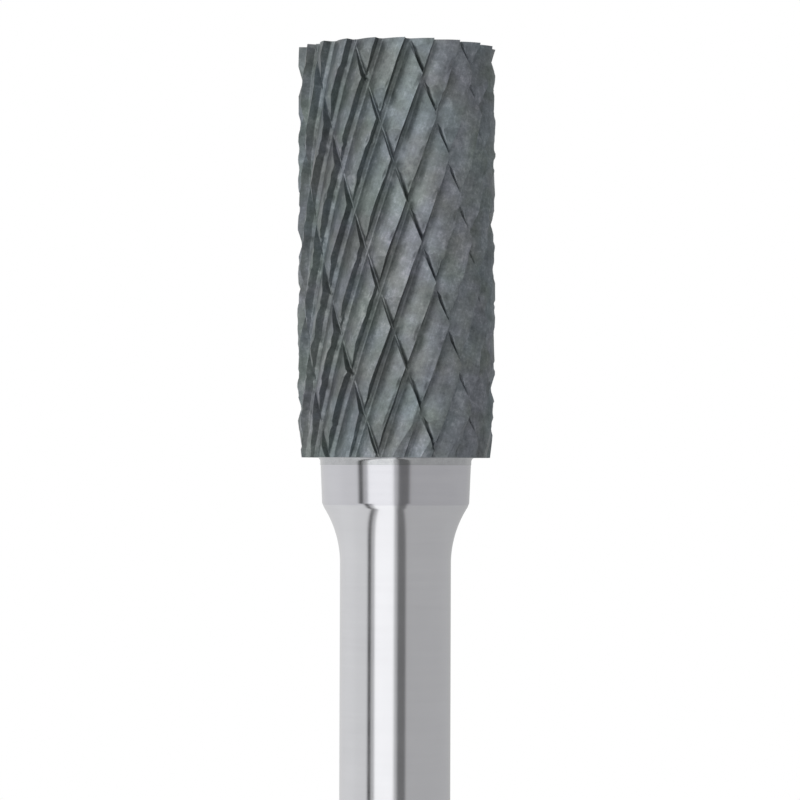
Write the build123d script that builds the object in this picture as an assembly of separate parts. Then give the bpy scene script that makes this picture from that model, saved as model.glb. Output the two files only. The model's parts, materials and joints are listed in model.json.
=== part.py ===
from build123d import *
import os
from math import cos, degrees, pi, radians, sin, sqrt, tan

# Cylindrical carbide burr, double cut, standing on the end of its shank.
# Millimetres and degrees. +Z runs up the axis from the shank end to the plain end face of the head.

# ---- shank ----
SHANK_DIAMETER = 6.35        # plain clamping diameter, 1/4 in
SHANK_LENGTH = 44.45         # shank end to the face the head is brazed to, collar and neck included
SHANK_CHAMFER = 0.4          # at the free end
COLLAR_TOP_DIAMETER = 8.64   # at the braze face
COLLAR_BASE_DIAMETER = 8.42  # at the lower edge, the collar tapers slightly
COLLAR_LENGTH = 2.6
COLLAR_EDGE_BREAK = 0.1      # lower edge of the collar
NECK_RADIUS = 6.0            # hollow radius, runs out tangent to the plain shank

# ---- braze ----
BRAZE_THICKNESS = 0.1        # film between collar face and head
BRAZE_FILLET_WIDTH = 0.15    # how far the fillet spreads under the head
BRAZE_FILLET_DROP = 0.33     # how far it runs down the collar
BRAZE_FILLET_EDGE = 0.02     # thickness where it ends
BRAZE_HOLLOW_RISE = 0.6      # share of the fillet's height at which its hollow is set
BRAZE_HOLLOW_SPREAD = 0.25   # share of its spread that it has reached there

# ---- head ----
HEAD_DIAMETER = 11.36        # over the cutting edges
HEAD_LENGTH = 23.45
BACK_TAPER_DEPTH = 0.28      # radial relief at the shank end of the head
BACK_TAPER_LENGTH = 2.4

FLUTE_COUNT = 21             # right-hand flutes, right-hand cut
FLUTE_ANGLE = 20.0           # helix angle from the axis
FLUTE_DEPTH = 0.66
FLUTE_RAKE_DEPTH = 0.50      # height of the rake face
FLUTE_RAKE_WIDTH = 0.08      # how far the rake face leans open over that height
FLUTE_ROOT_WIDTH = 0.25      # from the foot of the rake face to the lowest line of the flute
LAND_WIDTH = 0.80            # of the ground land behind each cutting edge
LAND_DROP = 0.31             # how far the land falls away over its width
FLUTE_START = 4.34           # one cutting edge at the head base, from -Y towards +X

GROOVE_COUNT = 10            # left-hand chip breakers across the flutes
GROOVE_ANGLE = 20.8
GROOVE_DEPTH = 0.62
GROOVE_WALL_WIDTH = 0.02     # almost radial side of the slot
GROOVE_ROOT_WIDTH = 0.12     # flat at the bottom of the slot
GROOVE_STEP_WIDTH = 0.10     # far side of the slot, up to the foot of the ramp
GROOVE_RAMP_DEPTH = 0.38     # how deep the ramp starts
GROOVE_RAMP_WIDTH = 0.94     # shallow ramp that rises from there to the next teeth
GROOVE_START = 24.56         # top of one steep side at the head base, from -Y towards +X

SWEEP_MARGIN = 0.5           # tooth sweeps run past both ends of the blank and are trimmed by it
BLANK_CLEARANCE = 0.4        # construction surfaces that must stay clear of the cutting edges

# ---- worked out from the above ----
shank_r = SHANK_DIAMETER / 2
collar_top_r = COLLAR_TOP_DIAMETER / 2
collar_base_r = COLLAR_BASE_DIAMETER / 2
head_r = HEAD_DIAMETER / 2
head_base_z = SHANK_LENGTH + BRAZE_THICKNESS
head_top_z = head_base_z + HEAD_LENGTH


def polar(radius, angle):
    """Point at an angle in radians measured from -Y towards +X."""
    return (radius * sin(angle), -radius * cos(angle))


def neck_drop(radius):
    """Height of the neck arc above its tangent point where it reaches this radius."""
    return sqrt(NECK_RADIUS ** 2 - (NECK_RADIUS - (radius - shank_r)) ** 2)


def collar_radius(z):
    """Radius of the tapered collar at a height, also just past its ends."""
    return collar_top_r - (collar_top_r - collar_base_r) * (SHANK_LENGTH - z) / COLLAR_LENGTH


def make_shank():
    """One turned piece: chamfered end, plain shank, hollow neck and collar."""
    collar_base_z = SHANK_LENGTH - COLLAR_LENGTH
    neck_z = collar_base_z - neck_drop(collar_base_r)
    break_r = collar_base_r - COLLAR_EDGE_BREAK
    break_z = collar_base_z + COLLAR_EDGE_BREAK
    middle_r = (shank_r + break_r) / 2
    neck_start = (shank_r, neck_z)
    neck_middle = (middle_r, neck_z + neck_drop(middle_r))
    neck_end = (break_r, neck_z + neck_drop(break_r))
    outline = [
        Polyline((0, 0), (shank_r - SHANK_CHAMFER, 0), (shank_r, SHANK_CHAMFER), neck_start),
        ThreePointArc(neck_start, neck_middle, neck_end),
        Polyline(
            neck_end,
            (collar_radius(break_z), break_z),
            (collar_top_r, SHANK_LENGTH),
            (0, SHANK_LENGTH),
            (0, 0),
        ),
    ]
    return revolve(Plane.XZ * make_face(outline), Axis.Z)


def make_braze(shank):
    """Film between the two pieces, with a hollow fillet that runs down the collar."""
    foot_z = SHANK_LENGTH - BRAZE_FILLET_DROP
    hollow_z = foot_z + (head_base_z - foot_z) * BRAZE_HOLLOW_RISE
    hollow_width = BRAZE_FILLET_EDGE + (BRAZE_FILLET_WIDTH - BRAZE_FILLET_EDGE) * BRAZE_HOLLOW_SPREAD
    foot = (collar_radius(foot_z) + BRAZE_FILLET_EDGE, foot_z)
    hollow = (collar_radius(hollow_z) + hollow_width, hollow_z)
    rim = (collar_radius(head_base_z) + BRAZE_FILLET_WIDTH, head_base_z)
    outline = [
        Polyline((0, foot_z), foot),
        ThreePointArc(foot, hollow, rim),
        Polyline(rim, (0, head_base_z), (0, foot_z)),
    ]
    return revolve(Plane.XZ * make_face(outline), Axis.Z) - shank


def flute_section():
    """Cross-section of the head with every flute: rake face, root, flank, then the land of the next edge."""
    pitch = 2 * pi / FLUTE_COUNT
    points = []
    for i in range(FLUTE_COUNT):
        edge = radians(FLUTE_START) + i * pitch
        rake_foot = edge + FLUTE_RAKE_WIDTH / head_r
        points.append(polar(head_r, edge))
        points.append(polar(head_r - FLUTE_RAKE_DEPTH, rake_foot))
        points.append(polar(head_r - FLUTE_DEPTH, rake_foot + FLUTE_ROOT_WIDTH / head_r))
        points.append(polar(head_r - LAND_DROP, edge + pitch - LAND_WIDTH / head_r))
    return make_face(Polyline(*points, close=True))


def groove_section():
    """Disc larger than the head with every chip breaker, a slot and a ramp, cut into its rim."""
    pitch = 2 * pi / GROOVE_COUNT
    disc_r = head_r + BLANK_CLEARANCE
    root_r = head_r - GROOVE_DEPTH
    ramp_r = head_r - GROOVE_RAMP_DEPTH
    wall_per_mm = GROOVE_WALL_WIDTH / head_r / GROOVE_DEPTH
    ramp_per_mm = GROOVE_RAMP_WIDTH / head_r / GROOVE_RAMP_DEPTH
    edges = []
    for j in range(GROOVE_COUNT):
        angle = radians(GROOVE_START) + j * pitch
        start = angle - wall_per_mm * BLANK_CLEARANCE
        root = angle + wall_per_mm * GROOVE_DEPTH
        step = root + GROOVE_ROOT_WIDTH / head_r
        ramp = step + GROOVE_STEP_WIDTH / head_r
        stop = ramp + ramp_per_mm * (disc_r - ramp_r)
        edges.append(Line(polar(disc_r, start), polar(root_r, root)))
        edges.append(Line(polar(root_r, root), polar(root_r, step)))
        edges.append(Line(polar(root_r, step), polar(ramp_r, ramp)))
        edges.append(Line(polar(ramp_r, ramp), polar(disc_r, stop)))
        middle = (stop + start + pitch) / 2
        edges.append(ThreePointArc(polar(disc_r, stop), polar(disc_r, middle), polar(disc_r, start + pitch)))
    return make_face(edges)


def twisted(section, helix_angle, hand):
    """Prism of the section over the head length and margins, turned about the axis as it rises."""
    height = HEAD_LENGTH + 2 * SWEEP_MARGIN
    per_mm = hand * degrees(tan(radians(helix_angle)) / head_r)
    sweep = Solid.extrude_linear_with_rotation(section.faces()[0], (0, 0, 0), (0, 0, height), per_mm * height)
    lowered = Pos(0, 0, head_base_z - SWEEP_MARGIN) * sweep
    return Rot(0, 0, -per_mm * SWEEP_MARGIN) * lowered


def make_head():
    outer_r = head_r + BLANK_CLEARANCE
    slope = BACK_TAPER_LENGTH / BACK_TAPER_DEPTH
    blank = Polyline(
        (0, head_base_z),
        (head_r - BACK_TAPER_DEPTH, head_base_z),
        (outer_r, head_base_z + slope * (BACK_TAPER_DEPTH + BLANK_CLEARANCE)),
        (outer_r, head_top_z),
        (0, head_top_z),
        close=True,
    )
    fluted = twisted(flute_section(), FLUTE_ANGLE, 1)
    crossed = fluted & twisted(groove_section(), GROOVE_ANGLE, -1)
    return crossed & revolve(Plane.XZ * make_face(blank), Axis.Z)


steel_shank = make_shank()
braze_joint = make_braze(steel_shank)
carbide_head = make_head()

os.makedirs("parts", exist_ok=True)
for name, shape in (
    ("steel_shank", steel_shank),
    ("braze_joint", braze_joint),
    ("carbide_head", carbide_head),
):
    solids = shape.solids()
    if len(solids) != 1 or not shape.is_valid:
        raise ValueError(name + " did not come out as one valid solid")
    export_step(solids[0], os.path.join("parts", name + ".step"))
    print(name, round(shape.volume, 2), "mm3", len(shape.faces()), "faces")
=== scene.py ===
import json
from math import atan, atan2, cos, pi, radians, sin, tan

import bmesh
import bpy
import numpy as np
from mathutils import Euler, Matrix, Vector


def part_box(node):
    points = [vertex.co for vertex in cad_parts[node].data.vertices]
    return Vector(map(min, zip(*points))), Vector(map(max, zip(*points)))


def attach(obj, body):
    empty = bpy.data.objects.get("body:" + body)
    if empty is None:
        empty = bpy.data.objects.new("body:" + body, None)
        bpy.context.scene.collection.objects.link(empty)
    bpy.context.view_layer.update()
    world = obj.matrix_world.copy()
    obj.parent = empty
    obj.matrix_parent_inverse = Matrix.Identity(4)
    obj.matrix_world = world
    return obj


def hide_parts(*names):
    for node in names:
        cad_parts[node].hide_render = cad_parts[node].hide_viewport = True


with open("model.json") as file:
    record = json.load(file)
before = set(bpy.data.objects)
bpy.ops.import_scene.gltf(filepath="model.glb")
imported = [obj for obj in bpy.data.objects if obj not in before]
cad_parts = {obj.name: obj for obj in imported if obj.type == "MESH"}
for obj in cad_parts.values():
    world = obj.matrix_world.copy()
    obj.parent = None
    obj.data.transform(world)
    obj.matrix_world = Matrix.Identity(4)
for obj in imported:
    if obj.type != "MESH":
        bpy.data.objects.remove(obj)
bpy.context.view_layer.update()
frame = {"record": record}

# Cylindrical carbide burr, double cut, standing on the end of its shank.
# Sizes are in millimetres and angles in radians, unless a comment says otherwise.
# +Z runs up the axis, and the camera looks from -Y.

MM = 0.001
SEED = 7

# ---- sizes read from the frame ----
mounts = {mount["name"]: mount for mount in frame["record"]["mounts"]}


def span(node, axis):
    """Lowest and highest coordinate of a CAD node along an axis, in millimetres."""
    low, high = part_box(node)
    return low[axis] / MM, high[axis] / MM


head_left, head_right = span("carbide_head", 0)
HEAD_BASE_Z, HEAD_TOP_Z = span("carbide_head", 2)
HEAD_RADIUS = (head_right - head_left) / 2
HEAD_LENGTH = HEAD_TOP_Z - HEAD_BASE_Z
SHANK_TOP_Z = span("steel_shank", 2)[1]
COLLAR_TOP_RADIUS = span("steel_shank", 0)[1]
BRAZE_RADIUS = span("braze_joint", 0)[1]
BRAZE_FOOT_Z = span("braze_joint", 2)[0]

plain_middle_z = mounts["shank"]["pos_m"][2] / MM
plain_length = mounts["shank"]["dims"]["length_mm"]
SHANK_RADIUS = mounts["shank"]["dims"]["r_mm"]
PLAIN_START_Z = plain_middle_z - plain_length / 2
NECK_START_Z = plain_middle_z + plain_length / 2

# ---- collar, neck and braze ----
COLLAR_BASE_RADIUS = 4.21
COLLAR_LENGTH = 2.6
COLLAR_EDGE_BREAK = 0.1
NECK_RADIUS = 6.0
BRAZE_EDGE = 0.02            # thickness of the fillet where it ends
BRAZE_HOLLOW = 5             # exponent of the fillet's curve, higher is more hollow

# ---- teeth ----
# Four values differ from the part's source: with these the render came closer to the photo.
BACK_TAPER_DEPTH = 0.28
BACK_TAPER_LENGTH = 2.4
FLUTE_COUNT = 21
FLUTE_ANGLE = radians(20.0)
FLUTE_DEPTH = 0.66
FLUTE_RAKE_DEPTH = 0.50
FLUTE_RAKE_WIDTH = 0.08
FLUTE_ROOT_WIDTH = 0.25
FLUTE_ROOT_RADIUS = 0.12
LAND_WIDTH = 0.63            # 0.80 in the part's source
LAND_DROP = 0.235            # 0.31 in the part's source
HEEL_RADIUS = 2.5            # between flank and land, a shallow angle
FLUTE_START = radians(4.34)
GROOVE_COUNT = 10
GROOVE_ANGLE = radians(20.8)
GROOVE_DEPTH = 0.62
GROOVE_WALL_WIDTH = 0.03     # 0.02 in the part's source
GROOVE_ROOT_WIDTH = 0.14     # 0.12 in the part's source
GROOVE_ROOT_RADIUS = 0.05
GROOVE_STEP_WIDTH = 0.10
GROOVE_STEP_RADIUS = 0.18
GROOVE_RAMP_DEPTH = 0.38
GROOVE_RAMP_WIDTH = 0.94
GROOVE_START = radians(24.56)

# ---- wear and the wander of the grinding wheel ----
WANDER = 0.035               # how far an edge strays sideways and in height
WANDER_LENGTHS = (2.9, 6.1, 13.0)
CHIP_COUNT = 560
CHIP_DEPTH = (0.02, 0.16)
CHIP_HALF_WIDTH = 0.16
CHIP_HALF_LENGTH = (0.16, 0.45)

# ---- density of the meshes ----
RAKE_STEPS = 2
ROOT_STEPS = 4
FLANK_STEPS = 2
HEEL_STEPS = 4
LAND_STEPS = 4
WALL_STEPS = 2
GROOVE_CORNER_STEPS = 2
RAMP_STEPS = 9
CLEAR_STEPS = 16             # from one chip breaker to the next
CLEAR_RISE = 0.2             # how fast the chip breaker's surface rises clear of the head between them
NECK_STEPS = 40
BRAZE_STEPS = 10
SHANK_SEGMENTS = 256
BRAZE_SEGMENTS = 192
SHANK_SHARP_ANGLE = radians(12)
BRAZE_SHARP_ANGLE = radians(35)

ZERO_FIELD = 1e-5            # a cut this close to a vertex goes through it
AXIS_RADIUS = 1e-6           # a point this close to the axis lies on it
WELD_M = 2e-7                # metres
RIM_TOLERANCE_M = 1e-7       # metres

flute_pitch = 2 * pi / FLUTE_COUNT
groove_pitch = 2 * pi / GROOVE_COUNT
flute_twist = tan(FLUTE_ANGLE) / HEAD_RADIUS
groove_twist = tan(GROOVE_ANGLE) / HEAD_RADIUS


# ---------------------------------------------------------------- tooth form

def corner_arc(start, corner, end, radius, steps):
    """Points of the arc that rounds a corner between two straight runs."""
    start, corner, end = (np.array(p, float) for p in (start, corner, end))
    to_start = (start - corner) / np.linalg.norm(start - corner)
    to_end = (end - corner) / np.linalg.norm(end - corner)
    half = np.arccos(np.clip(to_start @ to_end, -1, 1)) / 2
    run = radius / np.tan(half)
    middle = to_start + to_end
    centre = corner + middle / np.linalg.norm(middle) * radius / np.sin(half)
    first = corner + to_start * run - centre
    last = corner + to_end * run - centre
    angle = np.arctan2(first[0] * last[1] - first[1] * last[0], first @ last)
    points = []
    for k in range(steps + 1):
        c, s = cos(angle * k / steps), sin(angle * k / steps)
        rotated = (first[0] * c - first[1] * s, first[0] * s + first[1] * c)
        points.append(tuple(centre + rotated))
    return points


def straight(start, end, steps):
    """Points along a straight run, its end left out."""
    start, end = np.array(start), np.array(end)
    return [tuple(start + (end - start) * k / steps) for k in range(steps)]


def polar_point(radius, angle):
    return (radius * cos(angle), radius * sin(angle))


def as_lines(points):
    """Section points as (angle, radius), the form that the lattice takes."""
    return [(atan2(y, x), np.hypot(x, y)) for x, y in points]


def flute_lines():
    """One flute in section, its angles counted from its cutting edge, up to the next edge."""
    rake_foot = FLUTE_RAKE_WIDTH / HEAD_RADIUS
    corners = [
        polar_point(HEAD_RADIUS, 0),
        polar_point(HEAD_RADIUS - FLUTE_RAKE_DEPTH, rake_foot),
        polar_point(HEAD_RADIUS - FLUTE_DEPTH, rake_foot + FLUTE_ROOT_WIDTH / HEAD_RADIUS),
        polar_point(HEAD_RADIUS - LAND_DROP, flute_pitch - LAND_WIDTH / HEAD_RADIUS),
        polar_point(HEAD_RADIUS, flute_pitch),
    ]
    root = corner_arc(*corners[0:3], FLUTE_ROOT_RADIUS, ROOT_STEPS)
    root += corner_arc(*corners[1:4], FLUTE_ROOT_RADIUS, ROOT_STEPS)
    heel = corner_arc(*corners[2:5], HEEL_RADIUS, HEEL_STEPS)
    points = straight(corners[0], root[0], RAKE_STEPS) + root
    points += straight(root[-1], heel[0], FLANK_STEPS)[1:] + heel[:-1]
    points += straight(heel[-1], corners[4], LAND_STEPS)
    return as_lines(points)


def groove_lines():
    """One chip breaker in section, its angles counted from the top of its steep side, up to the next."""
    step_foot = (GROOVE_WALL_WIDTH + GROOVE_ROOT_WIDTH) / HEAD_RADIUS
    ramp_foot = step_foot + GROOVE_STEP_WIDTH / HEAD_RADIUS
    corners = [
        polar_point(HEAD_RADIUS, 0),
        polar_point(HEAD_RADIUS - GROOVE_DEPTH, GROOVE_WALL_WIDTH / HEAD_RADIUS),
        polar_point(HEAD_RADIUS - GROOVE_DEPTH, step_foot),
        polar_point(HEAD_RADIUS - GROOVE_RAMP_DEPTH, ramp_foot),
        polar_point(HEAD_RADIUS, ramp_foot + GROOVE_RAMP_WIDTH / HEAD_RADIUS),
    ]
    root = corner_arc(*corners[0:3], GROOVE_ROOT_RADIUS, GROOVE_CORNER_STEPS)
    root += corner_arc(*corners[1:4], GROOVE_ROOT_RADIUS, GROOVE_CORNER_STEPS)
    shoulder = corner_arc(*corners[2:5], GROOVE_STEP_RADIUS, GROOVE_CORNER_STEPS)
    points = straight(corners[0], root[0], WALL_STEPS) + root + shoulder[:-1]
    points += straight(shoulder[-1], corners[4], RAMP_STEPS) + [corners[4]]
    lines = as_lines(points)
    clear_start = lines[-1][0]
    for k in range(1, CLEAR_STEPS):
        share = k / CLEAR_STEPS
        radius = HEAD_RADIUS * (1 + CLEAR_RISE * min(share, 1 - share))
        lines.append((clear_start + (groove_pitch - clear_start) * share, radius))
    return lines


# ---------------------------------------------------------------- head mesh

# Columns of the vertex table: the angles across the flutes and across the chip breakers, then the
# radii of the flute, the chip breaker and the back taper. The lowest of the three is the surface.
A, B, RF, RG, RB = range(5)
BY_FLUTE, BY_GROOVE, BY_TAPER, BY_END = range(4)  # what a surface was ground by

# Numbers that tell one ground surface from another
GROOVE_GROUP = 100
TAPER_GROUP = 200
BASE_GROUP = 301
TOP_GROUP = 302


def height_of(table):
    """Height above the head base, from the two lattice angles."""
    return (table[:, B] - table[:, A]) / (flute_twist + groove_twist)


def split(table, triangles, field):
    """Cuts triangles along the line where the field is zero, so that this line becomes mesh edges."""
    field = np.where(np.abs(field) < ZERO_FIELD, 0.0, field)
    side = np.sign(field).astype(int)
    s = side[triangles]
    crossed = (s.min(axis=1) < 0) & (s.max(axis=1) > 0)
    kept = triangles[~crossed]
    cut = triangles[crossed]
    edges = np.sort(np.concatenate([cut[:, [0, 1]], cut[:, [1, 2]], cut[:, [2, 0]]]), axis=1)
    edges = edges[side[edges[:, 0]] * side[edges[:, 1]] < 0]
    edges = np.unique(edges, axis=0)
    f0, f1 = field[edges[:, 0]], field[edges[:, 1]]
    share = (f0 / (f0 - f1))[:, None]
    fresh = table[edges[:, 0]] * (1 - share) + table[edges[:, 1]] * share
    number = {tuple(e): len(table) + k for k, e in enumerate(edges.tolist())}
    pieces = []
    for t in cut.tolist():
        signs = [side[v] for v in t]
        if 0 in signs:
            k = signs.index(0)
            a, b, c = t[k], t[(k + 1) % 3], t[(k + 2) % 3]
            m = number[tuple(sorted((b, c)))]
            pieces += [(a, b, m), (a, m, c)]
        else:
            k = next(k for k in range(3) if signs.count(signs[k]) == 1)
            a, b, c = t[k], t[(k + 1) % 3], t[(k + 2) % 3]
            m = number[tuple(sorted((a, b)))]
            n = number[tuple(sorted((a, c)))]
            pieces += [(a, m, n), (m, b, c), (m, c, n)]
    return np.vstack([table, fresh]), np.vstack([kept, np.array(pieces, int).reshape(-1, 3)])


def lattice():
    """Sheet of triangles whose lines follow the flutes and the chip breakers."""
    flute = flute_lines()
    groove = groove_lines()
    a_lines = [(FLUTE_START + i * flute_pitch + t, r) for i in range(FLUTE_COUNT) for t, r in flute]
    a_lines.append((FLUTE_START + 2 * pi, flute[0][1]))
    climb = (flute_twist + groove_twist) * HEAD_LENGTH
    first = int(np.floor((a_lines[0][0] - GROOVE_START) / groove_pitch)) - 1
    last = int(np.ceil((a_lines[-1][0] + climb - GROOVE_START) / groove_pitch)) + 1
    b_lines = [(GROOVE_START + j * groove_pitch + t, r) for j in range(first, last) for t, r in groove]
    a = np.array(a_lines)
    b = np.array(b_lines)
    na, nb = len(a), len(b)
    table = np.zeros((na * nb, 5))
    table[:, A] = np.repeat(a[:, 0], nb)
    table[:, RF] = np.repeat(a[:, 1], nb)
    table[:, B] = np.tile(b[:, 0], na)
    table[:, RG] = np.tile(b[:, 1], na)
    z = height_of(table)
    table[:, RB] = HEAD_RADIUS - BACK_TAPER_DEPTH + BACK_TAPER_DEPTH * z / BACK_TAPER_LENGTH
    i, j = np.meshgrid(np.arange(na - 1), np.arange(nb - 1), indexing="ij")
    corner = (i * nb + j).ravel()
    quads = np.stack([corner, corner + nb, corner + nb + 1, corner + 1], axis=1)
    quad_z = z[quads]
    quads = quads[(quad_z.max(axis=1) > 0) & (quad_z.min(axis=1) < HEAD_LENGTH)]
    triangles = np.concatenate([quads[:, [0, 1, 2]], quads[:, [0, 2, 3]]])
    return table, triangles


def trimmed_lattice():
    """The lattice with mesh edges wherever two ground surfaces meet, cut off at both ends of the head."""
    table, triangles = lattice()
    table, triangles = split(table, triangles, table[:, RF] - table[:, RG])
    lower = np.minimum(table[:, RF], table[:, RG])
    table, triangles = split(table, triangles, table[:, RB] - lower)
    for level, keep in ((0.0, 1), (HEAD_LENGTH, -1)):
        table, triangles = split(table, triangles, height_of(table) - level)
        inside = keep * (height_of(table)[triangles].mean(axis=1) - level) > 0
        triangles = triangles[inside]
    used, triangles = np.unique(triangles, return_inverse=True)
    return table[used], triangles.reshape(-1, 3)


def wander(index, z, chance):
    """Smooth random offset along a flute, different for each flute."""
    offset = np.zeros_like(z)
    for length in WANDER_LENGTHS:
        phase = chance.uniform(0, 2 * pi, FLUTE_COUNT)[index]
        offset += np.sin(2 * pi * z / length + phase)
    return offset * WANDER / len(WANDER_LENGTHS)


def chips(a, z, chance):
    """Depth of the small nicks worn into the cutting edges, most of them slight."""
    depth = np.zeros_like(a)
    for _ in range(CHIP_COUNT):
        edge = FLUTE_START + chance.integers(FLUTE_COUNT) * flute_pitch
        middle = chance.uniform(0, HEAD_LENGTH)
        deepest = CHIP_DEPTH[0] + (CHIP_DEPTH[1] - CHIP_DEPTH[0]) * chance.uniform() ** 2
        half_length = chance.uniform(*CHIP_HALF_LENGTH)
        turn = (a - edge + pi) % (2 * pi) - pi
        across = turn * HEAD_RADIUS / CHIP_HALF_WIDTH
        along = (z - middle) / half_length
        depth = np.maximum(depth, deepest * np.clip(1 - across ** 2 - along ** 2, 0, 1))
    return depth


def tooth_points(table, chance):
    """Vertices in metres. The wander and the chips fade out away from the cutting edges."""
    z = height_of(table)
    turns = (table[:, A] - FLUTE_START) / flute_pitch
    nearest = np.round(turns).astype(int) % FLUTE_COUNT
    hold = np.clip(np.cos(2 * pi * turns), 0, 1)
    theta = table[:, A] + flute_twist * z + wander(nearest, z, chance) * hold / HEAD_RADIUS
    lowered = np.abs(wander(nearest, z, chance)) * hold
    radius = table[:, [RF, RG, RB]].min(axis=1) - lowered - chips(table[:, A], z, chance)
    return np.stack([radius * np.sin(theta), -radius * np.cos(theta), HEAD_BASE_Z + z], axis=1) * MM


def grind_vectors(table, triangles, cut_by):
    """At each face corner: millimetres across and along the grinding marks, and what ground the face."""
    corners = triangles.ravel()
    by_groove = np.repeat(cut_by == BY_GROOVE, 3)
    angle = np.where(by_groove, table[corners, B], table[corners, A])
    lean = np.where(by_groove, GROOVE_ANGLE, FLUTE_ANGLE)
    across = angle * HEAD_RADIUS * np.cos(lean)
    along = height_of(table)[corners] / np.cos(lean)
    return np.stack([across, along, np.repeat(cut_by, 3)], axis=1)


def head_mesh():
    """The toothed surface without its two ends, each face marked with its surface and its tooth."""
    table, triangles = trimmed_lattice()
    chance = np.random.default_rng(SEED)
    points = tooth_points(table, chance)
    middle = table[triangles].mean(axis=1)
    cut_by = np.argmin(middle[:, [RF, RG, RB]], axis=1)
    flute_index = np.floor((middle[:, A] - FLUTE_START) / flute_pitch).astype(int)
    groove_index = np.floor((middle[:, B] - GROOVE_START) / groove_pitch).astype(int)
    group = np.select(
        [cut_by == BY_FLUTE, cut_by == BY_GROOVE, cut_by == BY_TAPER],
        [flute_index, GROOVE_GROUP + groove_index, TAPER_GROUP + flute_index],
    )
    shades = chance.uniform(0, 1, (FLUTE_COUNT, groove_index.max() - groove_index.min() + 1))
    shade = shades[flute_index % FLUTE_COUNT, groove_index - groove_index.min()]
    grind = grind_vectors(table, triangles, cut_by)
    mesh = bpy.data.meshes.new("carbide_head_teeth")
    mesh.from_pydata(points.tolist(), [], triangles.tolist())
    layer = mesh.attributes.new("grind", "FLOAT_VECTOR", "CORNER")
    layer.data.foreach_set("vector", grind.ravel().astype(np.float32))
    label = mesh.attributes.new("group", "INT", "FACE")
    label.data.foreach_set("value", group.astype(np.int32))
    tooth = mesh.attributes.new("tooth", "FLOAT", "FACE")
    tooth.data.foreach_set("value", shade.astype(np.float32))
    return mesh


def at_level(vertex, level):
    return abs(vertex.co.z - level * MM) < RIM_TOLERANCE_M


def cap_ends(bm):
    """Closes the two flat ends with a fan each."""
    label = bm.faces.layers.int["group"]
    grind = bm.loops.layers.float_vector["grind"]
    for level, code in ((HEAD_BASE_Z, BASE_GROUP), (HEAD_TOP_Z, TOP_GROUP)):
        rim = [e for e in bm.edges if e.is_boundary and all(at_level(v, level) for v in e.verts)]
        hub = bm.verts.new((0, 0, level * MM))
        for edge in rim:
            a, b = edge.verts
            up = (a.co.x * b.co.y - a.co.y * b.co.x) > 0
            order = (a, b, hub) if up == (level == HEAD_TOP_Z) else (b, a, hub)
            face = bm.faces.new(order)
            face[label] = code
            for loop in face.loops:
                loop[grind] = Vector((loop.vert.co.x / MM, loop.vert.co.y / MM, BY_END))


def mark_sharp(mesh):
    """Smooth shading inside each ground surface, a sharp edge between two of them."""
    group = np.zeros(len(mesh.polygons), np.int32)
    mesh.attributes["group"].data.foreach_get("value", group)
    edge_of_loop = np.zeros(len(mesh.loops), np.int32)
    mesh.loops.foreach_get("edge_index", edge_of_loop)
    totals = np.zeros(len(mesh.polygons), np.int32)
    mesh.polygons.foreach_get("loop_total", totals)
    group_of_loop = np.repeat(group, totals)
    low = np.full(len(mesh.edges), group.max())
    high = np.full(len(mesh.edges), group.min())
    np.minimum.at(low, edge_of_loop, group_of_loop)
    np.maximum.at(high, edge_of_loop, group_of_loop)
    sharp = mesh.attributes.new("sharp_edge", "BOOLEAN", "EDGE")
    sharp.data.foreach_set("value", low != high)


def add_piece(name, mesh, material, node):
    piece = bpy.data.objects.new(name, mesh)
    bpy.context.scene.collection.objects.link(piece)
    mesh.materials.append(material)
    for polygon in mesh.polygons:
        polygon.use_smooth = True
    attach(piece, "root")
    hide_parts(node)
    return piece


def make_head(material):
    mesh = head_mesh()
    bm = bmesh.new()
    bm.from_mesh(mesh)
    bmesh.ops.remove_doubles(bm, verts=bm.verts, dist=WELD_M)
    cap_ends(bm)
    bm.to_mesh(mesh)
    bm.free()
    mark_sharp(mesh)
    return add_piece("carbide_head_teeth", mesh, material, "carbide_head")


# ---------------------------------------------------------------- turned pieces

def turned(name, outline, segments, sharp_angle):
    """Closed solid of revolution from (radius, height) points, in millimetres, both ends on the axis."""
    bm = bmesh.new()
    rings = []
    for radius, z in outline:
        if radius < AXIS_RADIUS:
            rings.append([bm.verts.new((0, 0, z * MM))])
            continue
        ring = []
        for k in range(segments):
            angle = 2 * pi * k / segments
            ring.append(bm.verts.new((radius * cos(angle) * MM, radius * sin(angle) * MM, z * MM)))
        rings.append(ring)
    for low, high in zip(rings, rings[1:]):
        for k in range(segments):
            n = (k + 1) % segments
            if len(low) == 1:
                bm.faces.new((low[0], high[n], high[k]))
            elif len(high) == 1:
                bm.faces.new((low[k], low[n], high[0]))
            else:
                bm.faces.new((low[k], low[n], high[n], high[k]))
    mesh = bpy.data.meshes.new(name)
    bm.to_mesh(mesh)
    bm.free()
    mesh.set_sharp_from_angle(angle=sharp_angle)
    return mesh


def collar_radius(z):
    """Radius of the tapered collar at a height."""
    taper = COLLAR_TOP_RADIUS - COLLAR_BASE_RADIUS
    return COLLAR_TOP_RADIUS - taper * (SHANK_TOP_Z - z) / COLLAR_LENGTH


def neck_points():
    """The hollow neck, tangent to the plain shank, as far as the edge break of the collar."""
    end_radius = COLLAR_BASE_RADIUS - COLLAR_EDGE_BREAK
    end_angle = np.arccos(1 - (end_radius - SHANK_RADIUS) / NECK_RADIUS)
    points = []
    for k in range(NECK_STEPS + 1):
        angle = end_angle * k / NECK_STEPS
        radius = SHANK_RADIUS + NECK_RADIUS * (1 - cos(angle))
        points.append((radius, NECK_START_Z + NECK_RADIUS * sin(angle)))
    return points


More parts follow.
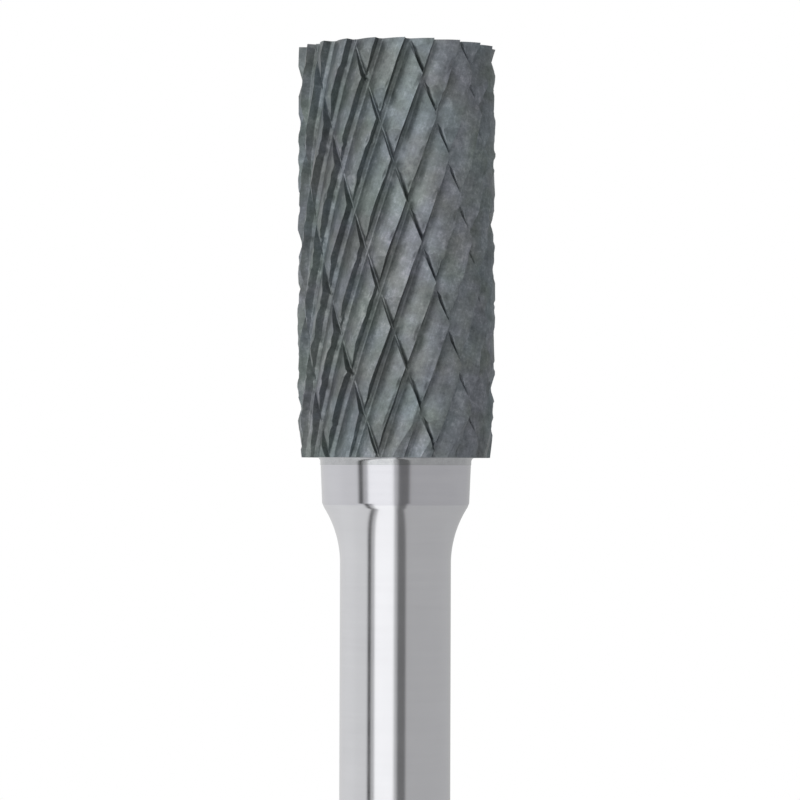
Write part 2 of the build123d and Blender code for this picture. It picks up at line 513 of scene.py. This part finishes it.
def make_shank(material):
    """Chamfered end, plain shank, hollow neck and collar. The chamfer is as wide as it is high."""
    break_z = SHANK_TOP_Z - COLLAR_LENGTH + COLLAR_EDGE_BREAK
    outline = [(0, 0), (SHANK_RADIUS - PLAIN_START_Z, 0), (SHANK_RADIUS, PLAIN_START_Z)]
    outline += neck_points()
    outline += [(collar_radius(break_z), break_z), (COLLAR_TOP_RADIUS, SHANK_TOP_Z), (0, SHANK_TOP_Z)]
    mesh = turned("steel_shank_turned", outline, SHANK_SEGMENTS, SHANK_SHARP_ANGLE)
    return add_piece("steel_shank_turned", mesh, material, "steel_shank")


def make_braze(material):
    """Film and hollow fillet of the braze, as a ring around the collar's top."""
    seat_radius = collar_radius(BRAZE_FOOT_Z)
    foot_radius = seat_radius + BRAZE_EDGE
    outline = [(0, SHANK_TOP_Z), (COLLAR_TOP_RADIUS, SHANK_TOP_Z), (seat_radius, BRAZE_FOOT_Z)]
    for k in range(BRAZE_STEPS + 1):
        share = k / BRAZE_STEPS
        bow = share ** BRAZE_HOLLOW
        z = BRAZE_FOOT_Z + (HEAD_BASE_Z - BRAZE_FOOT_Z) * share
        outline.append((foot_radius + (BRAZE_RADIUS - foot_radius) * bow, z))
    outline.append((0, HEAD_BASE_Z))
    mesh = turned("braze_joint_fillet", outline, BRAZE_SEGMENTS, BRAZE_SHARP_ANGLE)
    return add_piece("braze_joint_fillet", mesh, material, "braze_joint")


# ---------------------------------------------------------------- materials

class Nodes:
    """Short calls for building a node tree."""

    def __init__(self, tree):
        self.tree = tree
        tree.nodes.clear()

    def add(self, kind, inputs=(), **settings):
        node = self.tree.nodes.new(kind)
        for key, value in settings.items():
            setattr(node, key, value)
        for key, value in dict(inputs).items():
            if isinstance(value, bpy.types.NodeSocket):
                self.tree.links.new(value, node.inputs[key])
            else:
                node.inputs[key].default_value = value
        return node

    def math(self, operation, a, b=0.0, c=0.0):
        return self.add("ShaderNodeMath", {0: a, 1: b, 2: c}, operation=operation).outputs[0]

    def weighted(self, parts, base=0.0):
        """Sum of (value, weight) pairs on top of a base."""
        for value, weight in parts:
            base = self.math("MULTIPLY_ADD", value, weight, base)
        return base

    def noise(self, vector, scale, detail=2.0, roughness=0.5):
        settings = {"Vector": vector, "Scale": scale, "Detail": detail, "Roughness": roughness}
        return self.add("ShaderNodeTexNoise", settings).outputs["Fac"]

    def times(self, vector, factor):
        return self.add("ShaderNodeVectorMath", {0: vector, 1: factor}, operation="MULTIPLY").outputs[0]

    def separate(self, vector):
        return self.add("ShaderNodeSeparateXYZ", {"Vector": vector}).outputs

    def attribute(self, name, output):
        return self.add("ShaderNodeAttribute", attribute_name=name).outputs[output]

    def millimetres(self):
        """Place on the object, in millimetres."""
        return self.times(self.add("ShaderNodeTexCoord").outputs["Object"], (1 / MM, 1 / MM, 1 / MM))

    def ramp(self, value, stops):
        node = self.add("ShaderNodeValToRGB", {"Fac": value})
        elements = node.color_ramp.elements
        while len(elements) < len(stops):
            elements.new(0.5)
        for element, (place, colour) in zip(elements, stops):
            element.position = place
            element.color = (*colour, 1)
        return node.outputs["Color"]

    def mixed(self, share, first, second):
        return self.add("ShaderNodeMixShader", {0: share, 1: first, 2: second}).outputs[0]

    def metal(self, colour, metallic, rough, height, bump, depth):
        """Metal surface, its bump as a strength and a depth in millimetres, joined to the output."""
        relief = self.add("ShaderNodeBump", {"Height": height, "Strength": bump, "Distance": depth * MM})
        shader = self.add("ShaderNodeBsdfPrincipled", {
            "Base Color": colour,
            "Metallic": metallic,
            "Roughness": rough,
            "Normal": relief.outputs["Normal"],
        })
        self.add("ShaderNodeOutputMaterial", {"Surface": shader.outputs["BSDF"]})


def new_material(name):
    material = bpy.data.materials.new(name)
    material.use_nodes = True
    return material, Nodes(material.node_tree)


def carbide_material():
    """Mottled grey carbide with faint green and blue casts and marks along the grinding direction.

    Noise scales are in features per millimetre. Those on the grind vector are across, then along.
    """
    material, n = new_material("ground_carbide")
    grind = n.attribute("grind", "Vector")
    tooth = n.attribute("tooth", "Fac")
    place = n.millimetres()
    marks = n.noise(n.times(grind, (8.0, 0.6, 1.0)), scale=1.0, detail=3.0, roughness=0.6)
    fine = n.noise(n.times(grind, (30.0, 2.0, 1.0)), scale=1.0, detail=2.0, roughness=0.6)
    patches = n.noise(place, scale=0.9, detail=3.0, roughness=0.6)
    blotches = n.noise(place, scale=2.4, detail=3.0, roughness=0.6)
    grain = n.noise(place, scale=6.5, detail=3.0, roughness=0.75)
    tone = n.weighted([(blotches, 0.30), (patches, 0.32), (marks, 0.20), (grain, 0.30), (tooth, 0.05)])
    shades = n.ramp(tone, [
        (0.42, (0.092, 0.105, 0.110)),
        (0.54, (0.157, 0.174, 0.181)),
        (0.62, (0.200, 0.219, 0.227)),
        (0.72, (0.310, 0.331, 0.340)),
    ])
    green = n.ramp(n.noise(place, scale=0.30, detail=2.0, roughness=0.6), [
        (0.38, (1.01, 0.98, 1.00)),
        (0.62, (0.96, 1.02, 1.00)),
    ])
    # The blue cast grows towards +X, by this much of the ramp in each millimetre
    blue_drift = 0.010
    blue_clouds = n.noise(place, scale=0.45, detail=2.0, roughness=0.6)
    blue = n.ramp(n.weighted([(n.separate(place)["X"], blue_drift)], blue_clouds), [
        (0.38, (1.01, 1.01, 0.95)),
        (0.62, (0.99, 0.99, 1.05)),
    ])
    colour = n.times(shades, n.times(green, blue))
    rough = n.weighted([(grain, 0.14), (marks, 0.16)], 0.28)
    height = n.weighted([(grain, 0.45), (fine, 0.25), (marks, 0.60)])
    n.metal(colour, metallic=0.75, rough=rough, height=height, bump=0.60, depth=0.02)
    return material


def steel_material():
    """Ground shank, with a slightly darker turned finish on the collar."""
    material, n = new_material("ground_steel")
    place = n.millimetres()
    lines = n.noise(n.times(place, (0.25, 0.25, 60.0)), scale=1.0, detail=3.0, roughness=0.6)
    bands = n.noise(n.times(place, (0.15, 0.15, 4.0)), scale=1.0, detail=2.0, roughness=0.5)
    stains = n.noise(place, scale=0.5, detail=2.0, roughness=0.5)
    tone = n.weighted([(stains, 0.40), (bands, 0.25), (lines, 0.35)])
    ground = n.ramp(tone, [(0.35, (0.594, 0.596, 0.616)), (0.65, (0.626, 0.628, 0.648))])
    turning = n.ramp(tone, [(0.35, (0.535, 0.535, 0.565)), (0.65, (0.570, 0.570, 0.598))])
    on_collar = n.math("GREATER_THAN", n.separate(place)["Z"], SHANK_TOP_Z - COLLAR_LENGTH)
    choice = n.add("ShaderNodeMixRGB", {"Fac": on_collar, "Color1": ground, "Color2": turning})
    rough = n.weighted([(lines, 0.05), (stains, 0.05)], 0.08)
    n.metal(choice.outputs["Color"], metallic=1.0, rough=rough, height=lines, bump=0.12, depth=0.005)
    return material


def braze_material():
    """Smooth silver braze, faintly clouded and pitted, coloured darker than the steel as painted shade
    under the head.
    """
    material, n = new_material("silver_braze_painted_shade")
    place = n.millimetres()
    clouds = n.noise(place, scale=1.6, detail=3.0, roughness=0.6)
    pits = n.noise(place, scale=14.0, detail=2.0, roughness=0.6)
    tone = n.weighted([(pits, 0.40), (clouds, 0.60)])
    # These colours sit below the steel's. The darkness is painted shade from the head above; the clouds
    # and pits are the braze's own.
    colour = n.ramp(tone, [(0.35, (0.400, 0.408, 0.420)), (0.65, (0.500, 0.508, 0.520))])
    rough = n.weighted([(clouds, 0.10)], 0.08)
    n.metal(colour, metallic=1.0, rough=rough, height=tone, bump=0.2, depth=0.01)
    return material


# ---------------------------------------------------------------- studio

# What polished steel mirrors around the object: (azimuth in degrees from the front towards +X, brightness)
SURROUNDINGS = [
    (-180, 0.72), (-160, 0.80), (-142, 0.89), (-118, 0.96),  # back left, dimmer to keep the rim even
    (-98, 0.96), (-86, 0.92), (-61, 0.91),                   # pale left
    (-57.5, 0.12), (-52.5, 0.12),                            # narrow black strip
    (-51, 0.66), (-44.5, 0.66),                              # grey edge of the bright panel
    (-42.5, 1.45), (-4, 1.45),                               # bright panel
    (-2, 0.72), (3, 0.66),                                   # its other edge
    (5, 0.22), (20, 0.22),                                   # dark strip
    (23, 0.60), (125, 0.61), (150, 0.57), (180, 0.50),       # grey right, dimmer behind
]
# The same for higher directions, which the teeth mirror and the upright steel doesn't
OVERHEAD = [
    (-180, 0.8), (-130, 0.5), (-108, 0.2), (-92, 0.7),
    (-70, 2.0), (-35, 1.9), (-18, 1.4),
    (0, 0.8), (12, 0.5), (26, 0.9), (42, 0.9),
    (60, 0.3), (85, 0.3), (110, 0.5), (180, 0.8),
]
OVERHEAD_FROM = sin(radians(10))  # where the surroundings start to give way to it
OVERHEAD_TO = sin(radians(24))
WORLD_PEAK = 2.0             # brightest level above
AMBIENT_LEVEL = 0.28

LAMP_AZIMUTH = radians(-40)
LAMP_ELEVATION = radians(14)
LAMP_DISTANCE_M = 0.6
LAMP_WIDTH_M = 0.25
LAMP_HEIGHT_M = 0.2
LAMP_ENERGY = 2.4            # watts

FLOOR_RADIUS = 180
FLOOR_FADE_FROM = 60
FLOOR_FADE_TO = 170
FLOOR_WHITE = 0.6            # share of pure white near the object
FLOOR_COLOUR = (0.92, 0.92, 0.92, 1)
FLOOR_SEGMENTS = 96
WHITE = (1, 1, 1, 1)


def build_world():
    """Bands around the object for mirrored rays, even light for diffuse rays, white for the camera."""
    world = bpy.data.worlds.new("studio")
    bpy.context.scene.world = world
    world.use_nodes = True
    n = Nodes(world.node_tree)
    way = n.separate(n.add("ShaderNodeTexCoord").outputs["Generated"])
    azimuth = n.math("ARCTAN2", way["X"], n.math("MULTIPLY", way["Y"], -1.0))
    turn = n.math("MULTIPLY_ADD", azimuth, 1 / (2 * pi), 0.5)

    def band(levels):
        stops = [((at + 180) / 360, (level / WORLD_PEAK,) * 3) for at, level in levels]
        light = {"Color": n.ramp(turn, stops), "Strength": WORLD_PEAK}
        return n.add("ShaderNodeBackground", light).outputs[0]

    lift = n.add("ShaderNodeMapRange", {
        "Value": way["Z"], "From Min": OVERHEAD_FROM, "From Max": OVERHEAD_TO,
    }, interpolation_type="SMOOTHSTEP")
    room = n.mixed(lift.outputs[0], band(SURROUNDINGS), band(OVERHEAD))
    soft = n.add("ShaderNodeBackground", {"Color": WHITE, "Strength": AMBIENT_LEVEL})
    white = n.add("ShaderNodeBackground", {"Color": WHITE, "Strength": 1.0})
    path = n.add("ShaderNodeLightPath").outputs
    lit = n.mixed(path["Is Diffuse Ray"], room, soft.outputs[0])
    n.add("ShaderNodeOutputWorld", {"Surface": n.mixed(path["Is Camera Ray"], lit, white.outputs[0])})


def build_lamp():
    """Soft key lamp, upper left of the front. It isn't mirrored, only the surroundings are."""
    data = bpy.data.lights.new("key", "AREA")
    data.shape = "RECTANGLE"
    data.size = LAMP_WIDTH_M
    data.size_y = LAMP_HEIGHT_M
    data.energy = LAMP_ENERGY
    lamp = bpy.data.objects.new("key", data)
    bpy.context.scene.collection.objects.link(lamp)
    target = Vector((0, 0, (HEAD_BASE_Z + HEAD_LENGTH / 2) * MM))
    away = Vector((
        sin(LAMP_AZIMUTH) * cos(LAMP_ELEVATION),
        -cos(LAMP_AZIMUTH) * cos(LAMP_ELEVATION),
        sin(LAMP_ELEVATION),
    ))
    lamp.location = target + away * LAMP_DISTANCE_M
    lamp.rotation_euler = away.to_track_quat("Z", "Y").to_euler()
    lamp.visible_glossy = False
    lamp.visible_camera = False


def floor_material():
    """Pale paper that turns white away from the object, for the camera alone."""
    material, n = new_material("pale_floor")
    place = n.add("ShaderNodeTexCoord").outputs["Object"]
    distance = n.add("ShaderNodeVectorMath", {0: place}, operation="LENGTH").outputs["Value"]
    fade = n.add("ShaderNodeMapRange", {
        "Value": distance,
        "From Min": FLOOR_FADE_FROM * MM,
        "From Max": FLOOR_FADE_TO * MM,
        "To Min": FLOOR_WHITE,
    }, interpolation_type="SMOOTHSTEP")
    paper = n.add("ShaderNodeBsdfDiffuse", {"Color": FLOOR_COLOUR}).outputs[0]
    white = n.add("ShaderNodeEmission", {"Color": WHITE, "Strength": 1.0}).outputs[0]
    seen = n.add("ShaderNodeLightPath").outputs["Is Camera Ray"]
    surface = n.mixed(seen, paper, n.mixed(fade.outputs[0], paper, white))
    n.add("ShaderNodeOutputMaterial", {"Surface": surface})
    return material


def build_floor():
    bm = bmesh.new()
    bmesh.ops.create_circle(bm, cap_ends=True, segments=FLOOR_SEGMENTS, radius=FLOOR_RADIUS * MM)
    mesh = bpy.data.meshes.new("floor")
    bm.to_mesh(mesh)
    bm.free()
    mesh.materials.append(floor_material())
    floor = bpy.data.objects.new("floor", mesh)
    bpy.context.scene.collection.objects.link(floor)
    floor.visible_glossy = False


# ---------------------------------------------------------------- camera

FRAME_PIXELS = 800
PIXELS_PER_MM = 17.449       # on the burr's axis
CAMERA_DISTANCE = 193.1
HORIZON_Y = 470.0            # pixel row that the camera's height falls on
AXIS_X = 395.75              # pixel column of the burr's axis
HEAD_BASE_Y = 457.7          # pixel row of the head's lower edge
ROLL = radians(-0.183)
SENSOR_WIDTH = 36
CLIP_START_M = 0.01
CLIP_END_M = 10


def build_camera():
    camera = bpy.data.objects.new("camera", bpy.data.cameras.new("camera"))
    bpy.context.scene.collection.objects.link(camera)
    focal_pixels = PIXELS_PER_MM * CAMERA_DISTANCE
    camera.data.sensor_width = SENSOR_WIDTH
    camera.data.lens = SENSOR_WIDTH * focal_pixels / FRAME_PIXELS
    camera.data.clip_start = CLIP_START_M
    camera.data.clip_end = CLIP_END_M
    height = HEAD_BASE_Z + (HEAD_BASE_Y - HORIZON_Y) / PIXELS_PER_MM
    aside = (FRAME_PIXELS / 2 - AXIS_X) / PIXELS_PER_MM
    camera.location = Vector((aside, -CAMERA_DISTANCE, height)) * MM
    pitch = atan((HORIZON_Y - FRAME_PIXELS / 2) / focal_pixels)
    camera.rotation_euler = Euler((pi / 2 + pitch, ROLL, 0), "XYZ")
    bpy.context.scene.camera = camera


make_head(carbide_material())
make_shank(steel_material())
make_braze(braze_material())
build_world()
build_lamp()
build_floor()
build_camera()
bpy.context.scene.view_settings.view_transform = "Standard"
